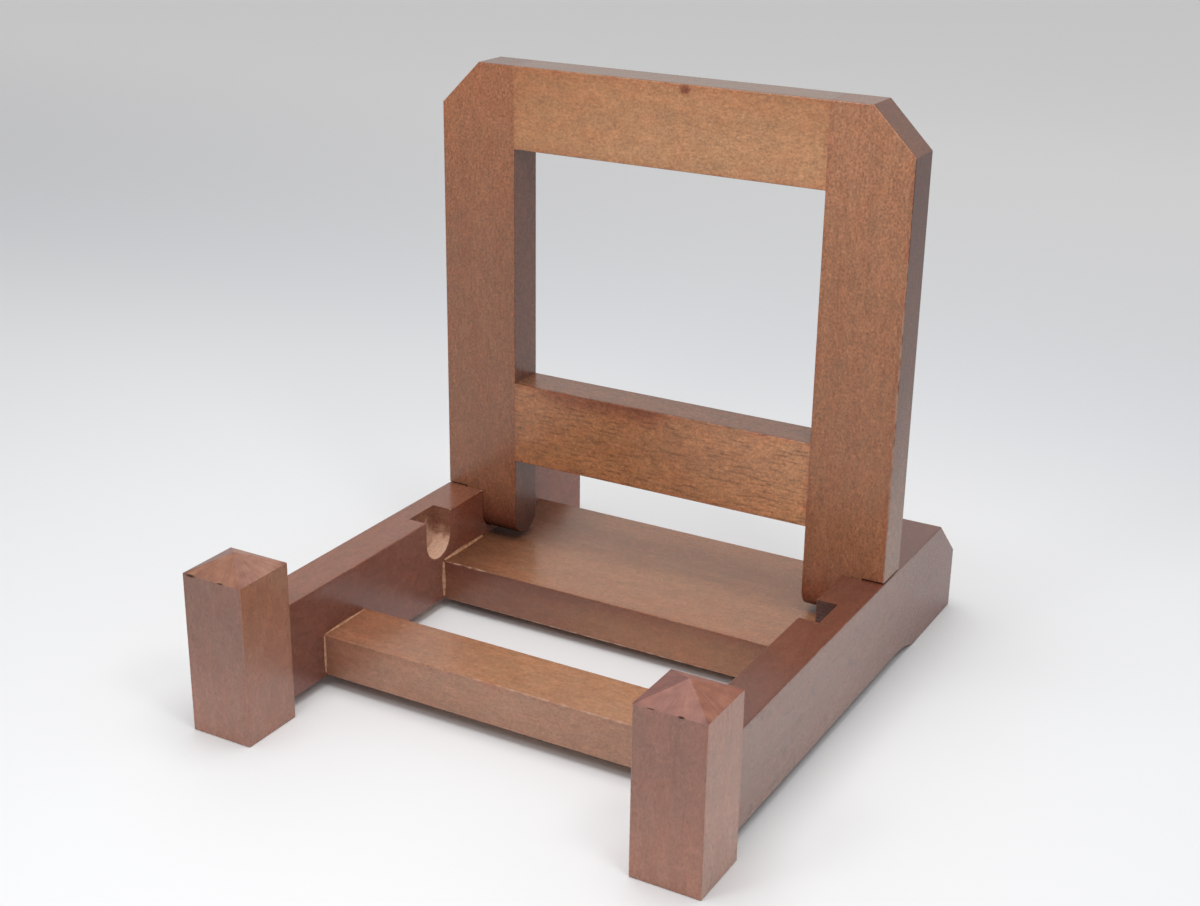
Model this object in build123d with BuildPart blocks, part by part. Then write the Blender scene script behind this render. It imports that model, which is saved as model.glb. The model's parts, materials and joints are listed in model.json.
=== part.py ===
"""Wooden plate display stand: a low base with two side rails, and a back frame that drops into it.

The stand faces -Y, with +Z up and the origin on the table, at the middle of the footprint. Left and
right are as seen from the front. Two square posts stand at the front, doweled to the ends of the side
rails. A cross rail and a wide board tie the side rails together. Each side rail has two housings, one
behind the other, open at the top and on the inner face. The back frame stands in the rear pair: its
stiles end in round-ended tongues, and it lifts straight out, to move to the front pair or to store flat.
All lengths are in millimetres.
"""
from build123d import *
import os
from math import atan2, degrees

os.makedirs("parts", exist_ok=True)

# Footprint and side rails
stand_depth = 280.0
rail_inner_x = 94.2
rail_thickness = 19.8
rail_top = 49.1
underside_height = 5.1  # gap below the rails and the board, between the feet
foot_length = 50.0
cove_length = 25.0
rear_chamfer_length = 21.5
rear_chamfer_height = 19.5

# Front posts
post_width = 30.0
post_height = 72.3  # to the corners, below the pyramid
cap_height = 7.2

# Cross rail and board between the side rails
cross_rail_gap = 28.0  # from the posts to the cross rail
cross_rail_depth = 30.4
cross_rail_bottom = 6.1
cross_rail_height = 19.5
board_front = 9.8
board_depth = 89.9
board_height = 19.8

# Housings in the side rails
housing_width = 19.9
housing_depth = 9.8
housing_floor = 27.6
front_housing_y = 6.4
rear_housing_y = 54.2

# Back frame
frame_thickness = 19.2
frame_half_width = 113.5
frame_top = 255.9
corner_chamfer = 19.5
window_half_width = 75.4
top_rail_bottom = 218.6
mid_rail_top = 107.4
mid_rail_bottom = 68.2
tongue_clearance = 0.4  # to the housing's floor and its outer wall
shoulder_clearance = 0.5  # above the side rail
end_flat = 0.1  # half the flat left between the two round corners of a tongue

# Rounding of the arrises
edge_easing = 0.5
ridge_easing = 0.3

# Dowels
dowel_radius = 4.0
dowel_chamfer = 0.8
glue_gap = 0.05  # between a dowel and the wall of its bore
glue_room = 1.0  # at each end of a bore

# Derived places
half_depth = stand_depth / 2
rail_outer_x = rail_inner_x + rail_thickness
rail_middle_x = (rail_inner_x + rail_outer_x) / 2
post_rear = -half_depth + post_width
cross_rail_front = post_rear + cross_rail_gap
cross_rail_middle = cross_rail_front + cross_rail_depth / 2
board_middle = board_front + board_depth / 2
frame_rear = rear_housing_y + frame_thickness / 2
housing_wall_x = rail_inner_x + housing_depth
tongue_outer_x = housing_wall_x - tongue_clearance
tongue_bottom = housing_floor + tongue_clearance
shoulder_bottom = rail_top + shoulder_clearance

SIDES = (("left", -1), ("right", 1))

# Dowel rows. Each joint lies in a plane across X, or across Y at the posts. The places are the dowel
# centres in that plane, and the reaches are how deep the dowels go into the two members.
post_dowels = [(0, 16), (0, 38)]
post_reach = 20.0
cross_rail_dowel_z = cross_rail_bottom + cross_rail_height / 2
cross_rail_dowels = [(cross_rail_middle + step, cross_rail_dowel_z) for step in (-8, 8)]
board_dowel_z = underside_height + board_height / 2
board_dowels = [(board_middle + step, board_dowel_z) for step in (-30, 0, 30)]
side_rail_reach = 11.0
cross_member_reach = 19.0
top_rail_dowels = [(rear_housing_y, (top_rail_bottom + frame_top) / 2 + step) for step in (-9, 9)]
mid_rail_dowels = [(rear_housing_y, (mid_rail_bottom + mid_rail_top) / 2 + step) for step in (-10, 10)]
frame_reach = 20.0


def dowel_bores(joint, places, depth):
    """Cut blind bores into the open part, from a joint plane to a signed depth along its normal."""
    with BuildSketch(joint) as mouths:
        with Locations(*places):
            Circle(dowel_radius + glue_gap)
    extrude(mouths.sketch, amount=depth, mode=Mode.SUBTRACT)


def write_dowels(name, joint, places, back_reach, front_reach):
    """Make the dowels of one joint, as separate solids in one node."""
    with BuildPart() as dowels:
        with BuildSketch(joint.offset(-back_reach)):
            with Locations(*places):
                Circle(dowel_radius)
        extrude(amount=back_reach + front_reach)
        chamfer(dowels.edges(), dowel_chamfer)
    dowels.part.label = name
    export_step(dowels.part, f"parts/{name}.step")


# Front posts: square, with a shallow four-sided point sawn on the end grain
cap_angle = degrees(atan2(cap_height, post_width / 2))

for side, sign in SIDES:
    post_x = sign * rail_middle_x
    post_y = -half_depth + post_width / 2
    apex = (post_x, post_y, post_height + cap_height)
    rail_joint = Plane.XZ.offset(-post_rear).move(Location((post_x, 0, 0)))

    with BuildPart() as front_post:
        with BuildSketch():
            with Locations((post_x, post_y)):
                Rectangle(post_width, post_width)
        extrude(amount=post_height + cap_height)
        fillet(front_post.edges().filter_by(Axis.Z), edge_easing)
        fillet(front_post.faces().sort_by(Axis.Z)[0].edges(), edge_easing)
        for quarter_turn in range(4):
            facing = Vector(0, 0, 1).rotate(Axis.X, cap_angle).rotate(Axis.Z, 90 * quarter_turn)
            split(bisect_by=Plane(origin=apex, z_dir=facing), keep=Keep.BOTTOM)
        ridges = front_post.edges().filter_by(lambda edge: edge.center().Z > post_height + cap_height / 4)
        fillet(ridges, ridge_easing)
        dowel_bores(rail_joint, post_dowels, post_reach + glue_room)

    front_post.part.label = f"{side}_front_post"
    export_step(front_post.part, f"parts/{side}_front_post.step")
    write_dowels(f"{side}_post_dowels", rail_joint, post_dowels, post_reach, post_reach)

# Side rails: a foot at the rear, a coved relief along the underside, two housings in the inner face
foot_front = half_depth - foot_length
cove_radius = (cove_length**2 + underside_height**2) / (2 * underside_height)

for side, sign in SIDES:
    inner_face = Plane.YZ.offset(sign * rail_inner_x)
    rail_joint = Plane.XZ.offset(-post_rear).move(Location((sign * rail_middle_x, 0, 0)))

    with BuildPart() as side_rail:
        with BuildSketch(inner_face) as rail_outline:
            with BuildLine():
                cove = RadiusArc(
                    (foot_front - cove_length, underside_height),
                    (foot_front, 0),
                    cove_radius,
                )
                Polyline(
                    cove @ 1,
                    (half_depth, 0),
                    (half_depth, rail_top - rear_chamfer_height),
                    (half_depth - rear_chamfer_length, rail_top),
                    (post_rear, rail_top),
                    (post_rear, underside_height),
                    cove @ 0,
                )
            make_face()
        extrude(amount=sign * rail_thickness)
        arrises = side_rail.faces().filter_by(Axis.X).edges()
        fillet(arrises.filter_by(lambda edge: edge.center().Y > post_rear + edge_easing), edge_easing)
        with BuildSketch(inner_face) as housing_outline:
            for housing_y in (front_housing_y, rear_housing_y):
                with Locations((housing_y, housing_floor + housing_width / 2)):
                    Circle(housing_width / 2)
                    Rectangle(housing_width, rail_top, align=(Align.CENTER, Align.MIN))
        extrude(amount=sign * housing_depth, mode=Mode.SUBTRACT)
        dowel_bores(rail_joint, post_dowels, -(post_reach + glue_room))
        dowel_bores(inner_face, cross_rail_dowels, sign * (side_rail_reach + glue_room))
        dowel_bores(inner_face, board_dowels, sign * (side_rail_reach + glue_room))

    side_rail.part.label = f"{side}_side_rail"
    export_step(side_rail.part, f"parts/{side}_side_rail.step")

# Cross rail and board: they butt against the side rails' inner faces
with BuildPart() as cross_rail:
    with BuildSketch(Plane.YZ.offset(-rail_inner_x)):
        with Locations((cross_rail_middle, cross_rail_bottom + cross_rail_height / 2)):
            Rectangle(cross_rail_depth, cross_rail_height)
    extrude(amount=2 * rail_inner_x)
    fillet(cross_rail.edges().filter_by(Axis.X), edge_easing)
    for side, sign in SIDES:
        end_face = Plane.YZ.offset(sign * rail_inner_x)
        dowel_bores(end_face, cross_rail_dowels, -sign * (cross_member_reach + glue_room))
cross_rail.part.label = "cross_rail"
export_step(cross_rail.part, "parts/cross_rail.step")

with BuildPart() as base_board:
    with BuildSketch(Plane.YZ.offset(-rail_inner_x)):
        with Locations((board_middle, underside_height + board_height / 2)):
            Rectangle(board_depth, board_height)
    extrude(amount=2 * rail_inner_x)
    fillet(base_board.edges().filter_by(Axis.X), edge_easing)
    for side, sign in SIDES:
        end_face = Plane.YZ.offset(sign * rail_inner_x)
        dowel_bores(end_face, board_dowels, -sign * (cross_member_reach + glue_room))
base_board.part.label = "base_board"
export_step(base_board.part, "parts/base_board.step")

for side, back_reach, front_reach in (
    ("left", side_rail_reach, cross_member_reach),
    ("right", cross_member_reach, side_rail_reach),
):
    end_face = Plane.YZ.offset(dict(SIDES)[side] * rail_inner_x)
    write_dowels(f"{side}_cross_rail_dowels", end_face, cross_rail_dowels, back_reach, front_reach)
    write_dowels(f"{side}_board_dowels", end_face, board_dowels, back_reach, front_reach)

# Back frame: glued up, sanded flush and eased as one, so its members are cut from one blank
with BuildPart() as frame_blank:
    with BuildSketch(Plane.XZ.offset(-frame_rear)) as frame_outline:
        with Locations((0, shoulder_bottom)):
            Rectangle(2 * frame_half_width, frame_top - shoulder_bottom, align=(Align.CENTER, Align.MIN))
        chamfer(frame_outline.vertices().group_by(Axis.Y)[-1], corner_chamfer)
        with Locations((0, tongue_bottom)):
            Rectangle(2 * tongue_outer_x, mid_rail_bottom - tongue_bottom, align=(Align.CENTER, Align.MIN))
            Rectangle(
                2 * window_half_width,
                mid_rail_bottom - tongue_bottom,
                align=(Align.CENTER, Align.MIN),
                mode=Mode.SUBTRACT,
            )
        with Locations((0, mid_rail_top)):
            Rectangle(
                2 * window_half_width,
                top_rail_bottom - mid_rail_top,
                align=(Align.CENTER, Align.MIN),
                mode=Mode.SUBTRACT,
            )
    extrude(amount=frame_thickness)
    tongue_ends = frame_blank.edges().filter_by(Axis.X).group_by(Axis.Z)[0]
    fillet(tongue_ends, frame_thickness / 2 - end_flat)
    arrises = frame_blank.faces().filter_by(Axis.Y).edges()
    fillet(arrises.filter_by(lambda edge: edge.center().Z > tongue_bottom + frame_thickness / 2), edge_easing)

for side, sign in SIDES:
    frame_joint = Plane.YZ.offset(sign * window_half_width)
    outer_part = Keep.TOP if sign > 0 else Keep.BOTTOM

    with BuildPart() as stile:
        add(frame_blank.part)
        split(bisect_by=frame_joint, keep=outer_part)
        dowel_bores(frame_joint, top_rail_dowels, sign * (frame_reach + glue_room))
        dowel_bores(frame_joint, mid_rail_dowels, sign * (frame_reach + glue_room))
    stile.part.label = f"{side}_stile"
    export_step(stile.part, f"parts/{side}_stile.step")
    write_dowels(f"{side}_top_rail_dowels", frame_joint, top_rail_dowels, frame_reach, frame_reach)
    write_dowels(f"{side}_mid_rail_dowels", frame_joint, mid_rail_dowels, frame_reach, frame_reach)

window_middle = Plane.XY.offset((mid_rail_top + top_rail_bottom) / 2)

with BuildPart() as top_rail:
    add(frame_blank.part)
    split(bisect_by=window_middle, keep=Keep.TOP)
    for side, sign in SIDES:
        frame_joint = Plane.YZ.offset(sign * window_half_width)
        split(bisect_by=frame_joint, keep=Keep.BOTTOM if sign > 0 else Keep.TOP)
        dowel_bores(frame_joint, top_rail_dowels, -sign * (frame_reach + glue_room))
top_rail.part.label = "top_rail"
export_step(top_rail.part, "parts/top_rail.step")

with BuildPart() as mid_rail:
    add(frame_blank.part)
    split(bisect_by=window_middle, keep=Keep.BOTTOM)
    for side, sign in SIDES:
        frame_joint = Plane.YZ.offset(sign * window_half_width)
        split(bisect_by=frame_joint, keep=Keep.BOTTOM if sign > 0 else Keep.TOP)
        dowel_bores(frame_joint, mid_rail_dowels, -sign * (frame_reach + glue_room))
mid_rail.part.label = "mid_rail"
export_step(mid_rail.part, "parts/mid_rail.step")
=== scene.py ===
"""Looks, light and camera for the plate display stand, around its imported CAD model.

Everything is in metres, in the CAD frame: the stand faces -Y, +Z is up, the table is at z = 0.
"""
import json
import math
import random

import bmesh
import bpy
from mathutils import Matrix, Vector


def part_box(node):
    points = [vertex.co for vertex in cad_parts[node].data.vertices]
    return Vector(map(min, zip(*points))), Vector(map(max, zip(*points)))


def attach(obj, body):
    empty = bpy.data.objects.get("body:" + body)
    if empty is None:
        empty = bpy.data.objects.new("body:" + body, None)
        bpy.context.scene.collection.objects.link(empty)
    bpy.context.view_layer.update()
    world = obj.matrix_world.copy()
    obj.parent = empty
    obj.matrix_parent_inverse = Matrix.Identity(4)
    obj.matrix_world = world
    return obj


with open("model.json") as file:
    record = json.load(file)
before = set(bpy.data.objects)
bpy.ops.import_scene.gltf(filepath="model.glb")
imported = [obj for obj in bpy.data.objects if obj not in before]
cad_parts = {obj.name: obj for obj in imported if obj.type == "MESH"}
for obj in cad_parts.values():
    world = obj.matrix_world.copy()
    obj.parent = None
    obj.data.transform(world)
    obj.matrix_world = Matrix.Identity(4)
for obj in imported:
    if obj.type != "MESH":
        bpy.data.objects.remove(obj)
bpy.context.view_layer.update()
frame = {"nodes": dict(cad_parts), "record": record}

MM = 0.001


def rgb(red, green, blue):
    return (red, green, blue, 1.0)


def corners(node):
    """The lowest and highest corners of a CAD node."""
    return [Vector(corner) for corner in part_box(node)]


def opening(name):
    """The lowest and highest corners of one of the record's openings."""
    rows = frame["record"]["physics"]["openings"]
    return next([Vector(corner) for corner in row["box_m"]] for row in rows if row["name"] == name)


def middle(box):
    return (box[0] + box[1]) / 2


# ---------------------------------------------------------------- node graphs


class Graph:
    """A short way to write a material's node tree."""

    def __init__(self, name):
        self.material = bpy.data.materials.new(name)
        self.material.use_nodes = True
        self.tree = self.material.node_tree
        self.tree.nodes.clear()

    def add(self, kind, *inputs, **settings):
        """A node with its settings by name, and its inputs set or linked in order."""
        node = self.tree.nodes.new(kind)
        for key, value in settings.items():
            setattr(node, key, value)
        for index, value in enumerate(inputs):
            self.put(node, index, value)
        return node

    def put(self, node, key, value):
        """Set or link one input."""
        if isinstance(value, bpy.types.Node):
            value = value.outputs[0]
        if isinstance(value, bpy.types.NodeSocket):
            self.tree.links.new(value, node.inputs[key])
        elif value is not None:
            node.inputs[key].default_value = value

    def named(self, kind, inputs, **settings):
        """A node with its inputs set or linked by name."""
        node = self.add(kind, **settings)
        for key, value in inputs.items():
            self.put(node, key, value)
        return node

    def math(self, operation, a, b=None, c=None):
        return self.add("ShaderNodeMath", a, b, c, operation=operation)

    def product(self, *factors):
        total = factors[0]
        for factor in factors[1:]:
            total = self.math("MULTIPLY", total, factor)
        return total

    def vector(self, operation, a, b=None):
        return self.add("ShaderNodeVectorMath", a, b, operation=operation)

    def tinted(self, colour, factor):
        """A colour times a number or a colour."""
        return self.vector("MULTIPLY", colour, factor)

    def noise(self, place, detail=2.0, roughness=0.5):
        inputs = {"Vector": place, "Scale": 1.0, "Detail": detail, "Roughness": roughness}
        return self.named("ShaderNodeTexNoise", inputs).outputs["Fac"]

    def ramp(self, value, start, end):
        """0 at start and 1 at end, with a smooth step between."""
        inputs = {"Value": value, "From Min": start, "From Max": end}
        return self.named("ShaderNodeMapRange", inputs, interpolation_type="SMOOTHSTEP")

    def between(self, value, low, high, soft):
        """1 between two values, and 0 beyond their soft ends."""
        return self.product(self.ramp(value, low - soft, low), self.ramp(value, high + soft, high))

    def vary(self, noise, amount):
        """A factor that varies about 1 with a noise that varies about a half."""
        return self.math("MULTIPLY_ADD", noise, amount, 1.0 - amount / 2)

    def fade(self, mask, tone):
        """1 where the mask is 0, and the tone where it is 1."""
        return self.math("MULTIPLY_ADD", mask, tone - 1.0, 1.0)

    def mix(self, factor, a, b):
        node = self.add("ShaderNodeMix", data_type="RGBA")
        for key, value in ((0, factor), (6, a), (7, b)):
            self.put(node, key, value)
        return node.outputs[2]

    def surface(self, colour, roughness, ior, normal=None):
        """The surface shader and the material's output."""
        inputs = {"Base Color": colour, "Roughness": roughness, "Normal": normal, "IOR": ior}
        shader = self.named("ShaderNodeBsdfPrincipled", inputs)
        self.named("ShaderNodeOutputMaterial", {"Surface": shader})
        return self.material


# ---------------------------------------------------------------- stained wood

GRAIN_FIRST = {"X": "XYZ", "Y": "YXZ", "Z": "ZXY"}
WORN_WOOD = rgb(0.52, 0.33, 0.24)


class Wood(Graph):
    """Fine-pored hardwood under a brown stain and a satin lacquer, with the grain along one axis."""

    def __init__(self, name, grain, seed):
        super().__init__(name)
        coordinates = self.add("ShaderNodeTexCoord")
        self.place = coordinates.outputs["Object"]
        self.at = dict(zip("XYZ", self.add("ShaderNodeSeparateXYZ", self.place).outputs))
        normal = self.add("ShaderNodeSeparateXYZ", coordinates.outputs["Normal"])
        self.facing = dict(zip("XYZ", normal.outputs))
        order = [self.at[axis] for axis in GRAIN_FIRST[grain]]
        along_grain = self.add("ShaderNodeCombineXYZ", *order)
        self.local = self.vector("ADD", along_grain, (0.37 * seed, 0.61 * seed, 0.23 * seed))

    def grains(self, along, across, detail=2.0, roughness=0.5, shift=0.0):
        """Noise whose grains have these sizes in millimetres."""
        scales = (1 / (along * MM), 1 / (across * MM), 1 / (across * MM))
        place = self.vector("MULTIPLY", self.local, scales)
        return self.noise(self.vector("ADD", place, (shift, shift, shift)), detail, roughness)

    def face(self, axis):
        """1 on the faces that look along an axis, either way."""
        return self.ramp(self.math("ABSOLUTE", self.facing[axis]), 0.6, 0.8)

    def edge_distance(self, box):
        """On a face of a box, the distance to its nearest edge."""
        depth = self.vector("SUBTRACT", self.place, tuple(middle(box)))
        half = tuple((box[1] - box[0]) / 2)
        depth = self.vector("SUBTRACT", half, self.vector("ABSOLUTE", depth))
        x, y, z = self.add("ShaderNodeSeparateXYZ", depth).outputs
        lower = self.math("MINIMUM", x, y)
        upper = self.math("MAXIMUM", x, y)
        return self.math("MAXIMUM", lower, self.math("MINIMUM", upper, z))

    def spot(self, centre, reach, soft):
        """1 inside an ellipsoid with these half sizes, and 0 beyond its soft surface."""
        offset = self.vector("SUBTRACT", self.place, tuple(centre))
        share = self.vector("LENGTH", self.vector("DIVIDE", offset, tuple(reach))).outputs["Value"]
        return self.ramp(share, 1.0, 1.0 - soft)

    def worn_line(self, colour, start, end, half_width, strength):
        """A broken pale line where the finish is worn off an edge between two places."""
        centre = (start + end) / 2
        reach = [abs(length) / 2 + half_width for length in end - start]
        line = self.spot(centre, reach, 0.5)
        broken = self.ramp(self.grains(5, 5, 2.0, 0.6, 109), 0.40, 0.60)
        return self.mix(self.product(line, broken, strength), colour, WORN_WOOD)


def stained_wood(
    node,
    grain,
    stain,
    seed,
    faces=(),
    fades=(),
    contrast=1.0,
    streaks=0.08,
    red=0.55,
    gloss=1.55,
    extras=(),
):
    """The finish of one member.

    A face is an axis, and a tint for the faces that look along it. A fade is an axis, the places in metres
    where it is full and gone, its tint, and the axis of the faces that have it. Contrast is the strength of
    the mottle, streaks the strength of the dark pores, red how much stain gathers at the edges, and gloss
    the lacquer's index of refraction. Each extra adds one thing that only this member has.
    """
    g = Wood("stained_" + node, grain, seed)
    box = corners(node)

    patch = g.grains(38, 13, 2.0, 0.55)
    figure = g.grains(90, 3.6, 2.0, 0.5, 7)
    cloud = g.grains(9, 5, 2.0, 0.5, 11)
    mottle = g.grains(1.15, 0.95, 1.0, 0.6, 23)
    speckle = g.grains(3.4, 1.2, 1.0, 0.6, 31)
    streak = g.ramp(g.grains(9, 1.1, 1.0, 0.5, 43), 0.52, 0.72)
    fleck = g.ramp(g.grains(2.2, 1.4, 0.0, 0.5, 71), 0.70, 0.80)
    hue = g.grains(14, 7, 2.0, 0.5, 83)

    tone = g.product(g.vary(patch, 0.26), g.vary(figure, 0.14), g.vary(cloud, 0.32))
    tone = g.product(tone, g.vary(mottle, 0.95 * contrast), g.vary(speckle, 0.35 * contrast))
    tone = g.product(tone, g.fade(streak, 1 - streaks), g.fade(fleck, 1 + 0.10 * contrast))

    colour = g.tinted(stain[:3], tone)
    colour = g.tinted(colour, g.mix(hue, rgb(1.08, 0.93, 0.88), rgb(0.93, 1.06, 1.10)))
    edge = g.ramp(g.edge_distance(box), 3.0 * MM, 0.6 * MM)
    edge = g.product(edge, g.ramp(cloud, 0.36, 0.66), red)
    colour = g.mix(edge, colour, g.tinted(colour, (0.86, 0.72, 0.70)))
    # The face tints and the fades are partly the wood's own tone and partly painted light and shade, which
    # lighten or darken whole faces and parts of faces
    for axis, tint in faces:
        colour = g.mix(g.face(axis), colour, g.tinted(colour, tint))
    for axis, full, gone, tint, faced in fades:
        mask = g.product(g.ramp(g.at[axis], gone, full), g.face(faced))
        colour = g.mix(mask, colour, g.tinted(colour, tint))

    rubbed = g.ramp(g.edge_distance(box), 0.75 * MM, 0.25 * MM)
    rubbed = g.product(rubbed, g.ramp(g.grains(14, 14, 2.0, 0.6, 101), 0.54, 0.72), 0.22)
    colour = g.mix(rubbed, colour, WORN_WOOD)

    relief = g.product(g.fade(streak, 0.7), g.vary(mottle, 0.08))
    rough = g.math("MULTIPLY_ADD", cloud, 0.10, 0.22)
    for extra in extras:
        colour, relief, rough = extra(g, node, box, colour, relief, rough)
    bump = g.named("ShaderNodeBump", {"Strength": 0.30, "Distance": 0.05 * MM, "Height": relief})
    return g.surface(colour, rough, ior=gloss, normal=bump)


# ---------------------------------------------------------------- what only some members have

HOUSING_STAIN = {"left_side_rail": (0.60, 0.38, 0.27), "right_side_rail": (0.22, 0.12, 0.10)}
HOUSING_HALF_WIDTH = 9.95 * MM
HOUSING_REACH = 10.0 * MM  # from the rail's inner face to just past the housing's outer wall
CUTTER_STEP = 1.7 * MM
CAP_HEIGHT = 7.2 * MM
CAP_STAIN = {
    "left_front_post": {
        "front": (0.274, 0.114, 0.065),
        "right": (0.286, 0.131, 0.088),
        "left": (0.20, 0.09, 0.066),
    },
    "right_front_post": {
        "front": (0.240, 0.080, 0.052),
        "right": (0.260, 0.094, 0.055),
        "left": (0.19, 0.075, 0.062),
    },
}
# Each chip's distance right of the post's middle, half length and half height, in millimetres
CHIPS = {
    "left_front_post": [(-10.7, 3.8, 1.1), (4.8, 2.4, 0.45)],
    "right_front_post": [(4.5, 2.0, 0.75), (-7.5, 2.4, 0.25)],
}
# Near black, in the small chips on the caps' front edges
CHIP_TONE = rgb(0.040, 0.015, 0.010)
BARE_PORES = rgb(0.72, 0.46, 0.28)
# Where each member's front edges are worn: the edge, its start and end as shares of the member's length,
# and how strongly
FRONT_WEAR = {
    "cross_rail": [("top", 0.0, 0.4, 0.25), ("top", 0.3, 1.0, 0.6)],
    "base_board": [("top", 0.0, 0.14, 0.85), ("bottom", 0.0, 1.0, 1.0)],
}

# Each function below takes the finish so far, as colour, relief and roughness, and returns it with one
# thing added.


def housing_walls(g, node, box, colour, relief, rough):
    """The walls of a side rail's two housings: paler, rough-cut wood with the cutter's marks."""
    side = node.split("_")[0]
    inside = None
    for housing in (corners(side + "_stile"), opening(side + "_front_housing")):
        centre = middle(housing).y
        pocket = g.between(g.at["Y"], centre - HOUSING_HALF_WIDTH, centre + HOUSING_HALF_WIDTH, 0.05 * MM)
        inside = pocket if inside is None else g.math("MAXIMUM", inside, pocket)
    across = g.math("ABSOLUTE", g.at["X"])
    inner = min(abs(box[0].x), abs(box[1].x))
    inside = g.product(inside, g.between(across, inner + 0.6 * MM, inner + HOUSING_REACH, 0.3 * MM))
    inside = g.product(inside, g.ramp(g.at["Z"], box[1].z - 0.1 * MM, box[1].z - 0.5 * MM))
    bare = g.tinted(HOUSING_STAIN[node], g.vary(g.grains(3.0, 1.5, 2.0, 0.6, 5), 0.9))
    stained = g.tinted(bare, (0.42, 0.28, 0.24))
    height = g.math("MULTIPLY_ADD", g.grains(5, 5, 2.0, 0.6, 7), 22 * MM, g.at["Z"])
    height = g.math("MULTIPLY_ADD", g.at["Y"], 0.5, height)
    bare = g.mix(g.ramp(height, box[1].z + 2 * MM, box[1].z + 12 * MM), bare, stained)
    steps = g.math("MULTIPLY", g.math("ADD", g.at["Z"], g.at["Y"]), 2 * math.pi / CUTTER_STEP)
    chatter = g.math("SINE", steps)
    relief = g.math("ADD", relief, g.product(inside, chatter, 1.6))
    return g.mix(inside, colour, bare), relief, rough


def post_cap(g, node, box, colour, relief, rough):
    """The sawn end grain of a post's pyramid, duller, with faint rays, and the chips in its front edge."""
    shoulder = box[1].z - CAP_HEIGHT
    cap = g.product(g.ramp(g.facing["Z"], 0.5, 0.7), g.ramp(g.at["Z"], shoulder - 1 * MM, shoulder))
    facets = CAP_STAIN[node]
    stain = g.mix(g.ramp(g.facing["X"], 0.15, 0.28), facets["front"] + (1,), facets["right"] + (1,))
    stain = g.mix(g.ramp(g.facing["X"], -0.15, -0.28), stain, facets["left"] + (1,))
    apex = Vector((middle(box).x, middle(box).y, box[1].z))
    dx, dy, _ = g.add("ShaderNodeSeparateXYZ", g.vector("SUBTRACT", g.place, tuple(apex))).outputs
    turn = g.math("ARCTAN2", dx, g.math("MULTIPLY", dy, -1.0))
    rays = g.noise(g.add("ShaderNodeCombineXYZ", g.math("MULTIPLY", turn, 9.0), apex.x * 40, 0.0), 2.0, 0.7)
    rays = g.vary(rays, 0.8)
    blotches = g.grains(5, 5, 2.0, 0.6, 97)
    stain = g.tinted(stain, g.product(rays, g.vary(blotches, 1.0)))
    stain = g.tinted(stain, g.mix(blotches, rgb(1.05, 0.86, 0.84), rgb(0.95, 1.14, 1.16)))
    rim = g.product(g.ramp(g.edge_distance(box), 4.5 * MM, 0.5 * MM), g.ramp(blotches, 0.30, 0.50))
    stain = g.mix(rim, stain, g.tinted(stain, (0.60, 0.46, 0.50)))
    colour = g.mix(cap, colour, stain)
    rough = g.math("MULTIPLY_ADD", cap, 0.20, rough)
    for across, half_length, half_height in CHIPS[node]:
        centre = (middle(box).x + across * MM, box[0].y, shoulder)
        reach = (half_length * MM, 1.0 * MM, half_height * MM)
        chip = g.spot(centre, reach, 0.8)
        colour = g.mix(chip, colour, CHIP_TONE)
        relief = g.math("SUBTRACT", relief, g.product(chip, 2.0))
        rough = g.math("MULTIPLY_ADD", chip, 0.8, rough)
    return colour, relief, rough


def ridge_highlight(g, node, box, colour, relief, rough):
    """A painted highlight, pale and bluish, down one ridge of the cap, from the apex halfway to the front
    right corner.
    """
    apex = Vector((middle(box).x, middle(box).y, box[1].z))
    corner = Vector((box[1].x, box[0].y, box[1].z - CAP_HEIGHT))
    for step in range(6):
        ridge = g.spot(apex.lerp(corner, step / 12), [1.2 * MM] * 3, 0.9)
        colour = g.mix(ridge, colour, g.tinted(colour, (1.25, 1.4, 1.45)))
    return colour, relief, rough


def knot(g, node, box, colour, relief, rough):
    """A small dark reddish knot close under the rail's top edge, a little right of its middle."""
    place = Vector((middle(box).x + 0.063 * (box[1].x - box[0].x), box[0].y, box[1].z - 2.4 * MM))
    knot_mask = g.spot(place, (3.8 * MM, 2 * MM, 3.0 * MM), 0.7)
    return g.mix(knot_mask, colour, g.tinted(colour, (0.50, 0.34, 0.30))), relief, rough


def dark_band(g, node, box, colour, relief, rough):
    """A darker, redder band of wood along the rail's top edge, in its left half."""
    band = g.product(
        g.between(g.at["X"], -0.050, -0.006, 18 * MM),
        g.ramp(g.at["Z"], box[1].z - 11 * MM, box[1].z - 2 * MM),
        g.vary(g.grains(16, 3, 2.0, 0.6, 131), 1.2),
        g.face("Y"),
    )
    return g.mix(band, colour, g.tinted(colour, (0.66, 0.52, 0.55))), relief, rough


def pale_flecks(g, node, box, colour, relief, rough):
    """A few short pale flecks where the pores took no stain, in the rail's right half."""
    flecks = g.ramp(g.grains(2.6, 1.3, 0.0, 0.5, 113), 0.73, 0.79)
    centre = middle(box) + Vector((32 * MM, 0, 0))
    flecks = g.product(flecks, g.spot(centre, (40 * MM, 20 * MM, 18 * MM), 0.6))
    return g.mix(g.product(flecks, 0.5), colour, BARE_PORES), relief, rough


def tongue_shadow(g, node, box, colour, relief, rough):
    """A painted shadow on the board's top, in the narrow gaps under the frame's two tongues."""
    stile = corners("left_stile")
    shadow_mask = g.between(g.at["Y"], stile[0].y + 9 * MM, stile[1].y - 3 * MM, 6 * MM)
    across = g.math("ABSOLUTE", g.at["X"])
    inner = -stile[1].x
    shadow_mask = g.product(shadow_mask, g.ramp(across, inner + 1 * MM, inner + 4 * MM), g.face("Z"))
    return g.mix(shadow_mask, colour, g.tinted(colour, (0.36, 0.26, 0.24))), relief, rough


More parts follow.
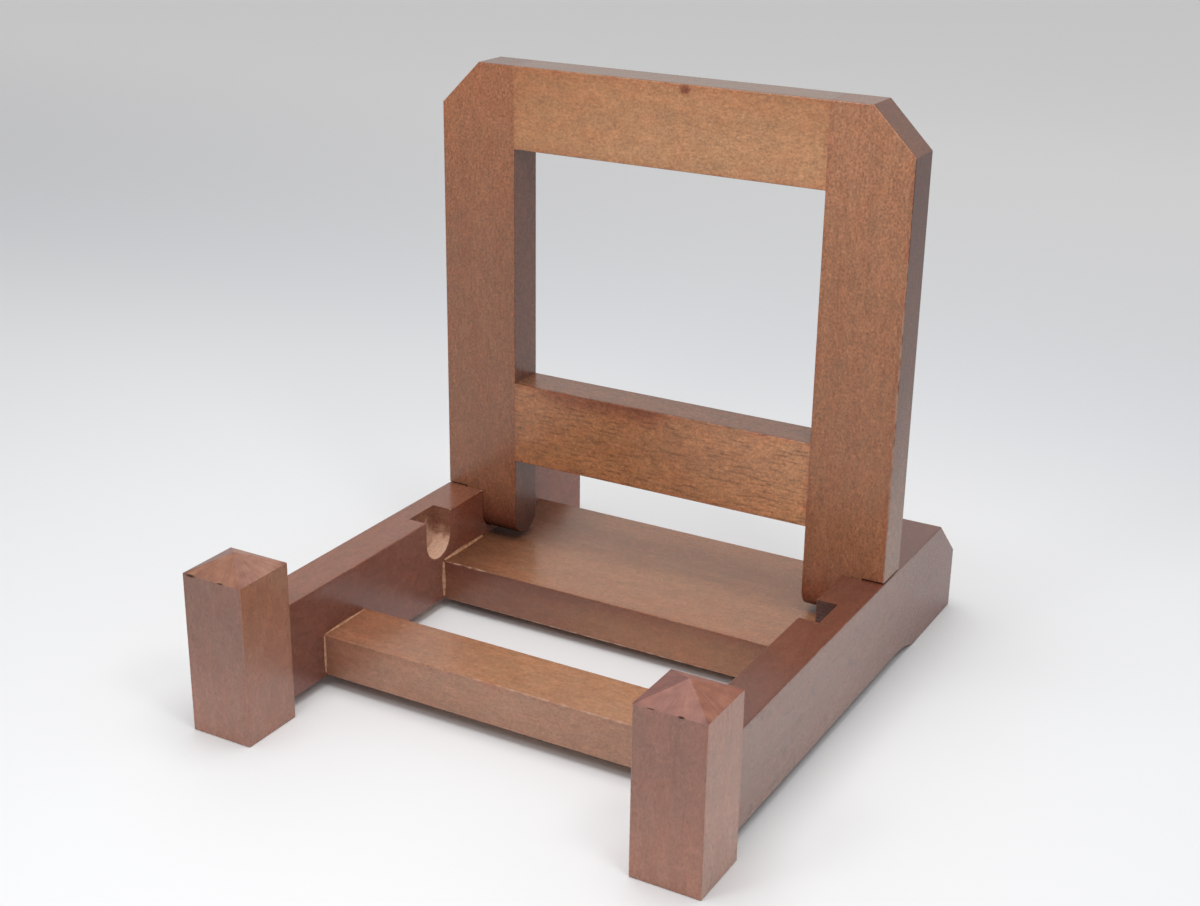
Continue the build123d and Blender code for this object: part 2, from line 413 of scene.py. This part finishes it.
def shaded_underside(g, node, box, colour, relief, rough):
    """The stile's underside, near black: painted shade in the gap under the tongue."""
    below = g.ramp(g.facing["Z"], -0.35, -0.95)
    return g.mix(below, colour, g.tinted(colour, (0.12, 0.10, 0.10))), relief, rough


def outer_arris(g, node, box, colour, relief, rough):
    """The finish worn thin down the stile's outer front edge."""
    start = Vector((box[1].x, box[0].y, box[0].z + 30 * MM))
    end = Vector((box[1].x, box[0].y, box[1].z - 20 * MM))
    return g.worn_line(colour, start, end, 0.9 * MM, 0.40), relief, rough


def front_arris(g, node, box, colour, relief, rough):
    """The finish worn through along the member's front edges."""
    for edge, low, high, strength in FRONT_WEAR[node]:
        height = box[1].z if edge == "top" else box[0].z
        start = Vector((box[0].x * (1 - low) + box[1].x * low, box[0].y, height))
        end = Vector((box[0].x * (1 - high) + box[1].x * high, box[0].y, height))
        colour = g.worn_line(colour, start, end, 0.9 * MM, strength)
    return colour, relief, rough


def shoulder_wear(g, node, box, colour, relief, rough):
    """Small bare spots on the rail's inner top edge, at the shoulder and at the front housing's corner."""
    shoulder = Vector((box[1].x, corners("left_stile")[0].y, box[1].z))
    corner = Vector((box[1].x, opening("left_front_housing")[1].y, box[1].z))
    for place in (shoulder, corner):
        bare = g.spot(place, (1.3 * MM, 1.8 * MM, 1.1 * MM), 0.7)
        colour = g.mix(g.product(bare, 0.7), colour, WORN_WOOD)
    return colour, relief, rough


def smudges(g, node, box, colour, relief, rough):
    """Faint darker smudges on the rail's outer face."""
    mark = g.product(g.ramp(g.grains(11, 9, 2.0, 0.6, 127), 0.60, 0.66), g.ramp(g.facing["X"], 0.6, 0.8))
    return g.mix(mark, colour, g.tinted(colour, (0.80, 0.80, 0.86))), relief, rough


# What stained_wood is told of each member
MEMBERS = {
    "left_stile": dict(
        grain="Z", stain=rgb(0.285, 0.118, 0.0615), contrast=1.45, extras=[shaded_underside],
        faces=[("X", (0.56, 0.52, 0.60)), ("Z", (0.45, 0.45, 0.5))],
        fades=[
            ("Z", 0.03, 0.10, (0.97, 0.95, 0.95), "Y"),
            ("Z", 0.030, 0.056, (0.52, 0.34, 0.36), "Y"),
            # Darker towards the board on the tongue's sides: painted shade
            ("Z", 0.030, 0.055, (0.45, 0.36, 0.34), "X"),
            ("Z", 0.25, 0.16, (1.27, 1.19, 1.03), "Y"),
        ],
    ),
    "right_stile": dict(
        grain="Z", stain=rgb(0.338, 0.137, 0.062), contrast=1.4, red=0.9, extras=[shaded_underside, outer_arris],
        faces=[("X", (0.39, 0.30, 0.24)), ("Z", (0.45, 0.45, 0.5))],
        fades=[
            ("Z", 0.03, 0.10, (0.94, 0.90, 0.98), "Y"),
            ("Z", 0.030, 0.055, (0.76, 0.60, 0.60), "Y"),
            ("Z", 0.25, 0.14, (1.16, 1.26, 1.40), "Y"),
            # The sides' tints here, pale and bluish low down and redder at the top, are a painted
            # reflection of the pale table
            ("Z", 0.06, 0.15, (1.9, 3.0, 5.0), "X"),
            ("Z", 0.23, 0.15, (0.66, 0.38, 0.10), "X"),
            # Darker just above the rail and down the tongue's sides: painted shade
            ("Z", 0.048, 0.051, (0.45, 0.28, 0.18), "X"),
        ],
    ),
    "top_rail": dict(
        grain="X", stain=rgb(0.482, 0.238, 0.115), contrast=1.05, streaks=0.04, red=0.9,
        extras=[knot, pale_flecks],
        faces=[("Z", (0.32, 0.34, 0.42))],
        fades=[
            ("Z", 0.256, 0.234, (0.94, 0.86, 0.82), "Y"),
            ("X", -0.075, 0.0, (0.93, 0.87, 0.82), "Y"),
        ],
    ),
    "mid_rail": dict(
        grain="X", stain=rgb(0.398, 0.168, 0.073), contrast=1.25, streaks=0.34, red=1.0,
        extras=[dark_band], faces=[("Z", (0.50, 0.48, 0.54))],
        fades=[("X", 0.075, -0.01, (1.3, 1.4, 1.5), "Y")],
    ),
    "cross_rail": dict(
        grain="X", stain=rgb(0.397, 0.200, 0.125), contrast=0.85, extras=[front_arris],
        faces=[("Z", (0.94, 0.92, 0.79))],
        fades=[("X", -0.094, 0.0, (0.76, 0.65, 0.65), "Z"), ("X", -0.094, -0.055, (0.84, 0.74, 0.72), "Y")],
    ),
    "base_board": dict(
        grain="X", stain=rgb(0.345, 0.149, 0.071), contrast=1.0, extras=[front_arris, tongue_shadow],
        faces=[("Z", (1.0, 1.06, 1.16))],
        fades=[
            # These two fades darken the board towards its left end: painted shade from the left stile
            ("X", -0.094, -0.040, (0.43, 0.37, 0.36), "Z"),
            ("X", -0.094, 0.05, (0.66, 0.60, 0.74), "Y"),
            ("Z", 0.023, 0.015, (0.82, 0.76, 0.84), "Y"),
        ],
    ),
    "left_side_rail": dict(
        grain="Y", stain=rgb(0.225, 0.085, 0.048), contrast=0.8, extras=[housing_walls, shoulder_wear],
        faces=[("X", (0.86, 0.88, 1.09))],
        fades=[
            ("Y", -0.02, -0.09, (1.32, 1.40, 1.40), "X"),
            ("Y", 0.03, 0.0, (1.0, 0.82, 0.68), "X"),
        ],
    ),
    "right_side_rail": dict(
        grain="Y", stain=rgb(0.153, 0.051, 0.030), contrast=0.7, gloss=1.7, extras=[housing_walls, smudges],
        # The pale bluish grey on the rail's sides, weaker towards the back, is a painted reflection of the
        # pale table and walls
        faces=[("X", (1.7, 2.6, 3.3))],
        fades=[
            ("Y", 0.12, 0.0, (0.66, 0.42, 0.32), "X"),
            ("Y", -0.11, -0.01, (0.84, 0.77, 0.70), "Z"),
        ],
    ),
    "left_front_post": dict(
        grain="Z", stain=rgb(0.266, 0.125, 0.089), contrast=0.7, red=0.35, extras=[post_cap],
        faces=[("X", (1.30, 1.36, 1.36))],
        fades=[("Z", 0.0, 0.06, (1.42, 1.45, 1.45), "Y"), ("Z", 0.075, 0.02, (0.88, 0.80, 0.66), "X")],
    ),
    "right_front_post": dict(
        grain="Z", stain=rgb(0.300, 0.136, 0.097), contrast=0.7, red=0.35,
        extras=[post_cap, ridge_highlight],
        faces=[("X", (1.14, 1.18, 1.15))],
        fades=[("Z", 0.0, 0.06, (1.3, 1.35, 1.3), "Y"), ("Z", 0.0, 0.08, (1.18, 1.34, 1.4), "X")],
    ),
}


def dress(piece, material):
    """Give an object its material."""
    if not piece.material_slots:
        piece.data.materials.append(material)
    for slot in piece.material_slots:
        slot.material = material


for number, (node, finish) in enumerate(MEMBERS.items()):
    dress(frame["nodes"][node], stained_wood(node, seed=1.0 + number, **finish))

for number, node in enumerate(name for name in frame["nodes"] if name.endswith("dowels")):
    dress(frame["nodes"][node], stained_wood(node, "X", rgb(0.68, 0.50, 0.32), 31.0 + number))

# ---------------------------------------------------------------- glue lines

UP = Vector((0, 0, 1))
FORWARD = Vector((0, -1, 0))
INWARD = {"left": Vector((1, 0, 0)), "right": Vector((-1, 0, 0))}
GLUE_SIZE = {"cross_rail": 0.65 * MM, "base_board": 1.05 * MM}
GLUE_SINK = 0.02 * MM  # into each of the two members
GLUE_STEPS = 48


def glue_material():
    g = Wood("dried_glue", "Y", 51.0)
    grain = g.grains(2.2, 2.2, 2.0, 0.6)
    colour = g.mix(g.ramp(grain, 0.35, 0.65), rgb(0.36, 0.17, 0.085), rgb(0.54, 0.30, 0.165))
    bump = g.named("ShaderNodeBump", {"Strength": 0.4, "Distance": 0.1 * MM, "Height": grain})
    return g.surface(colour, 0.35, ior=1.48, normal=bump)


def glue_line(name, start, end, across, along, size):
    """An uneven bead of dried glue in an inner corner, from start to end.

    Across and along are the directions of its two legs, and size is their length at the middle.
    """
    mesh = bmesh.new()
    rows = []
    for step in range(GLUE_STEPS + 1):
        share = step / GLUE_STEPS
        swell = 0.45 + 0.55 * math.sin(math.pi * share) ** 0.5
        leg = size * (swell + 0.10 * math.sin(9.0 * share + start.x * 90) + random.uniform(-0.06, 0.06))
        spot = start.lerp(end, share)
        corner = spot - (across + along) * GLUE_SINK
        foot = spot + across * leg - along * GLUE_SINK
        hollow = spot + (across + along) * (0.40 * leg)
        top = spot + along * leg - across * GLUE_SINK
        rows.append([mesh.verts.new(place) for place in (corner, foot, hollow, top)])
    for low, high in zip(rows, rows[1:]):
        for index in range(4):
            after = (index + 1) % 4
            mesh.faces.new((low[index], low[after], high[after], high[index]))
    mesh.faces.new(rows[0][::-1])
    mesh.faces.new(rows[-1])
    bmesh.ops.recalc_face_normals(mesh, faces=mesh.faces)
    data = bpy.data.meshes.new(name)
    mesh.to_mesh(data)
    mesh.free()
    bead = bpy.data.objects.new(name, data)
    bpy.context.scene.collection.objects.link(bead)
    dress(bead, glue)
    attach(bead, "base")


random.seed(7)
glue = glue_material()
tongue_front = corners("left_stile")[0].y
for member, size in GLUE_SIZE.items():
    low, high = corners(member)
    rear = min(high.y, tongue_front) - 1 * MM
    for side, x in (("left", low.x), ("right", high.x)):
        start = Vector((x, low.y + 0.8 * MM, high.z))
        end = Vector((x, rear, high.z))
        glue_line(f"{side}_{member}_top_glue", start, end, INWARD[side], UP, size)
        start = Vector((x, low.y, low.z + 1 * MM))
        end = Vector((x, low.y, high.z - 0.6 * MM))
        glue_line(f"{side}_{member}_front_glue", start, end, INWARD[side], FORWARD, size)

# ---------------------------------------------------------------- stage, light and camera

LIT_PLACE = Vector((0, 0, 0.08))
CAMERA_PLACE = (0.3498, -0.6304, 0.3834)
CAMERA_TURN = 29.29
CAMERA_DIP = 21.29
CAMERA_ROLL = 0.82


def add_floor(reach):
    """A plain pale floor, this far in each direction, whose tone changes with distance as painted light and
    shade: a little darker and bluer just behind the stand, and brighter far off.
    """
    mesh = bpy.data.meshes.new("floor")
    outline = [(-reach, -reach, 0), (reach, -reach, 0), (reach, reach, 0), (-reach, reach, 0)]
    mesh.from_pydata(outline, [], [(0, 1, 2, 3)])
    floor = bpy.data.objects.new("floor", mesh)
    bpy.context.scene.collection.objects.link(floor)
    g = Graph("pale_floor")
    place = g.add("ShaderNodeTexCoord").outputs["Object"]
    y = g.add("ShaderNodeSeparateXYZ", place).outputs["Y"]
    colour = g.mix(g.ramp(y, 0.15, 0.45), rgb(0.83, 0.84, 0.85), rgb(0.78, 0.79, 0.815))
    colour = g.mix(g.ramp(y, 0.45, 1.30), colour, rgb(0.95, 0.95, 0.95))
    dress(floor, g.surface(colour, 0.6, ior=1.45))


def add_light(name, place, size, power, glint=1.0):
    """A round soft light that faces the middle of the stand."""
    data = bpy.data.lights.new(name, "AREA")
    data.shape = "DISK"
    data.size = size
    data.energy = power
    data.specular_factor = glint
    light = bpy.data.objects.new(name, data)
    light.location = place
    light.rotation_euler = (Vector(place) - LIT_PLACE).to_track_quat("Z", "Y").to_euler()
    light.visible_camera = False
    bpy.context.scene.collection.objects.link(light)


def add_world(front, back, overhead):
    """A plain white studio whose front, back and ceiling differ in brightness."""
    world = bpy.data.worlds.new("studio")
    world.use_nodes = True
    nodes = world.node_tree.nodes
    links = world.node_tree.links
    split = nodes.new("ShaderNodeSeparateXYZ")
    links.new(nodes.new("ShaderNodeTexCoord").outputs["Generated"], split.inputs[0])
    walls = nodes.new("ShaderNodeMapRange")
    ceiling = nodes.new("ShaderNodeMapRange")
    for step, axis, start, end in ((walls, "Y", -0.5, 0.5), (ceiling, "Z", 0.55, 0.85)):
        step.interpolation_type = "SMOOTHSTEP"
        step.inputs["From Min"].default_value = start
        step.inputs["From Max"].default_value = end
        links.new(split.outputs[axis], step.inputs["Value"])
    walls.inputs["To Min"].default_value = front
    walls.inputs["To Max"].default_value = back
    links.new(walls.outputs[0], ceiling.inputs["To Min"])
    ceiling.inputs["To Max"].default_value = overhead
    background = nodes["Background"]
    background.inputs["Color"].default_value = rgb(1, 1, 1)
    links.new(ceiling.outputs[0], background.inputs["Strength"])
    bpy.context.scene.world = world


def add_camera():
    """The camera, with its turn from facing +Y, its dip below level and its roll in degrees."""
    data = bpy.data.cameras.new("camera")
    data.sensor_width = 36.0
    data.lens = 53.57
    camera = bpy.data.objects.new("camera", data)
    camera.matrix_world = (
        Matrix.Translation(CAMERA_PLACE)
        @ Matrix.Rotation(math.radians(CAMERA_TURN), 4, "Z")
        @ Matrix.Rotation(math.radians(90.0 - CAMERA_DIP), 4, "X")
        @ Matrix.Rotation(math.radians(CAMERA_ROLL), 4, "Z")
    )
    bpy.context.scene.collection.objects.link(camera)
    bpy.context.scene.camera = camera


add_floor(reach=8.0)
add_light("key_right", (0.346, -0.242, 0.610), size=0.16, power=0.56)
add_light("key_left", (-0.050, -0.370, 0.403), size=0.12, power=0.27, glint=0.4)
add_light("overhead", (0.0, -0.10, 1.0), size=0.70, power=5.1, glint=0.6)
add_world(front=0.48, back=0.72, overhead=0.52)
add_camera()
bpy.context.scene.view_settings.view_transform = "Standard"
